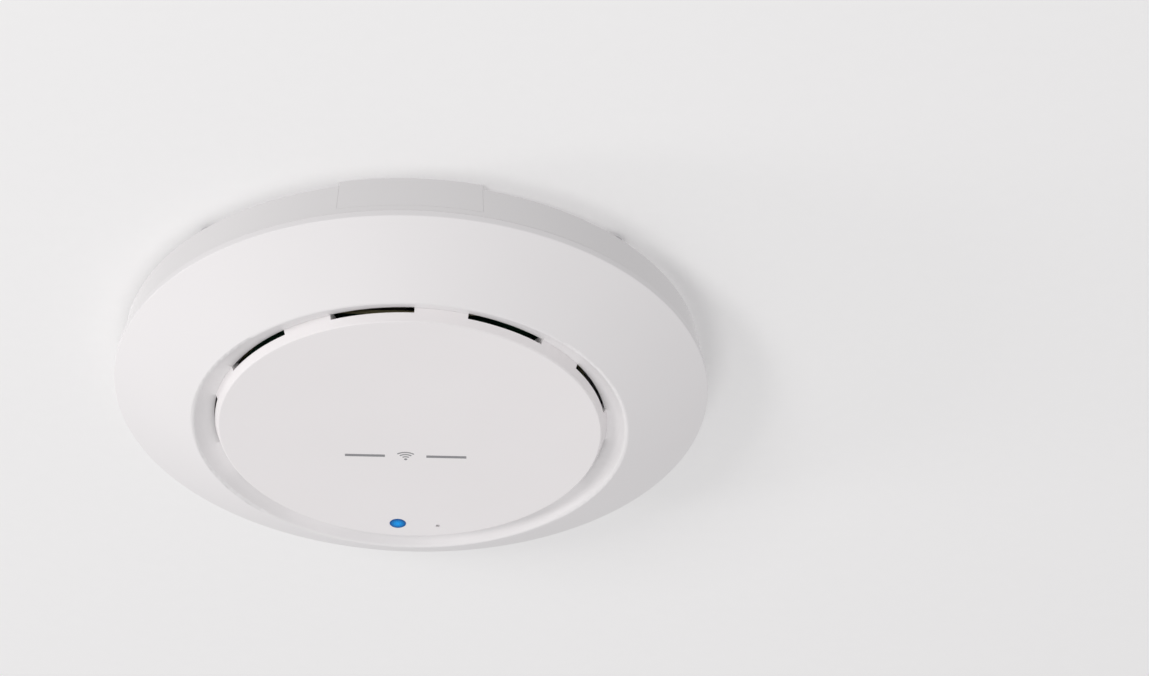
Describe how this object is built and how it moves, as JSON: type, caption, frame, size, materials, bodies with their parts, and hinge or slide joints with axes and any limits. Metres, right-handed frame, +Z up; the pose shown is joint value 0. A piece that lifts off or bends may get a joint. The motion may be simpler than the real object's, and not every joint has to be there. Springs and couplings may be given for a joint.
{
  "type": "ceiling access point",
  "caption": "Round ceiling-mounted wireless access point with a cone-shaped cover, vented centre disc, status light, and a twist-lock mounting bracket.",
  "frame": {"origin": "centre of the mounting bracket's ceiling face, which lies flat on the ceiling", "axes": "+Z up into the ceiling, the unit hangs below; -Y is the side with the cable exit cover and the ports, +Y the side with the status light"},
  "size_m": [0.2, 0.2, 0.034],
  "materials": {
    "antenna_metal": "tin plated",
    "board": "dark green solder mask",
    "button_white": "moulded",
    "cap_sleeve": "sleeved can",
    "case_plastic": "matt white",
    "ceramic_can": "metal lid",
    "chip_black": "moulded epoxy",
    "coax_grey": "extruded",
    "coil_grey": "pressed powder",
    "cover_plastic": "matt white",
    "disc_plastic": "matt white",
    "gold": "gold plated",
    "heat_alloy": "anodised",
    "jack_black": "moulded",
    "led_body": "moulded",
    "lens_blue": "clear tinted",
    "pad_grey": "soft silicone",
    "rubber": "pale grey",
    "steel": "zinc plated",
    "tinned": "tinned"
  },
  "bodies": {
    "bracket": {"mounting_bracket": "steel"},
    "housing": {"antenna_2g_left": "antenna_metal", "antenna_2g_right": "antenna_metal", "antenna_5g_left": "antenna_metal", "antenna_5g_right": "antenna_metal", "antenna_lead_2g_left": "coax_grey", "antenna_lead_2g_right": "coax_grey", "antenna_lead_5g_left": "coax_grey", "antenna_lead_5g_right": "coax_grey", "antenna_plugs": "gold", "antenna_screws": "steel", "board_screws": "steel", "cable_exit_cover": "case_plastic", "capacitors": "cap_sleeve", "case_screws": "steel", "centre_disc": "disc_plastic", "crystal": "tinned", "ethernet_chip": "chip_black", "flash_chip": "chip_black", "front_cover": "cover_plastic", "heat_sink": "heat_alloy", "light_pipe": "lens_blue", "line_transformer": "chip_black", "main_board": "board", "memory_chips": "chip_black", "network_jack": "jack_black", "network_jack_contacts": "gold", "power_coils": "coil_grey", "power_jack": "jack_black", "power_jack_pin": "tinned", "processor": "ceramic_can", "processor_pad": "pad_grey", "radio_chip_2g": "chip_black", "radio_chip_5g": "chip_black", "radio_pad_2g": "pad_grey", "radio_pad_5g": "pad_grey", "radio_shield_2g": "tinned", "radio_shield_5g": "tinned", "rear_case": "case_plastic", "reset_switch": "jack_black", "rubber_feet": "rubber", "status_led": "led_body"},
    "reset_button": {"reset_button": "button_white"}
  },
  "joints": [
    {"name": "housing_twist", "type": "hinge", "parent": "bracket", "child": "housing", "pos_m": [0, 0, 0], "axis": [0, 0, -1], "range_deg": [0, 15]},
    {"name": "reset_press", "type": "slide", "parent": "housing", "child": "reset_button", "axis": [0, 0, 1], "range_m": [0, 0.00025], "stiffness_N_per_m": 5000}
  ]
}
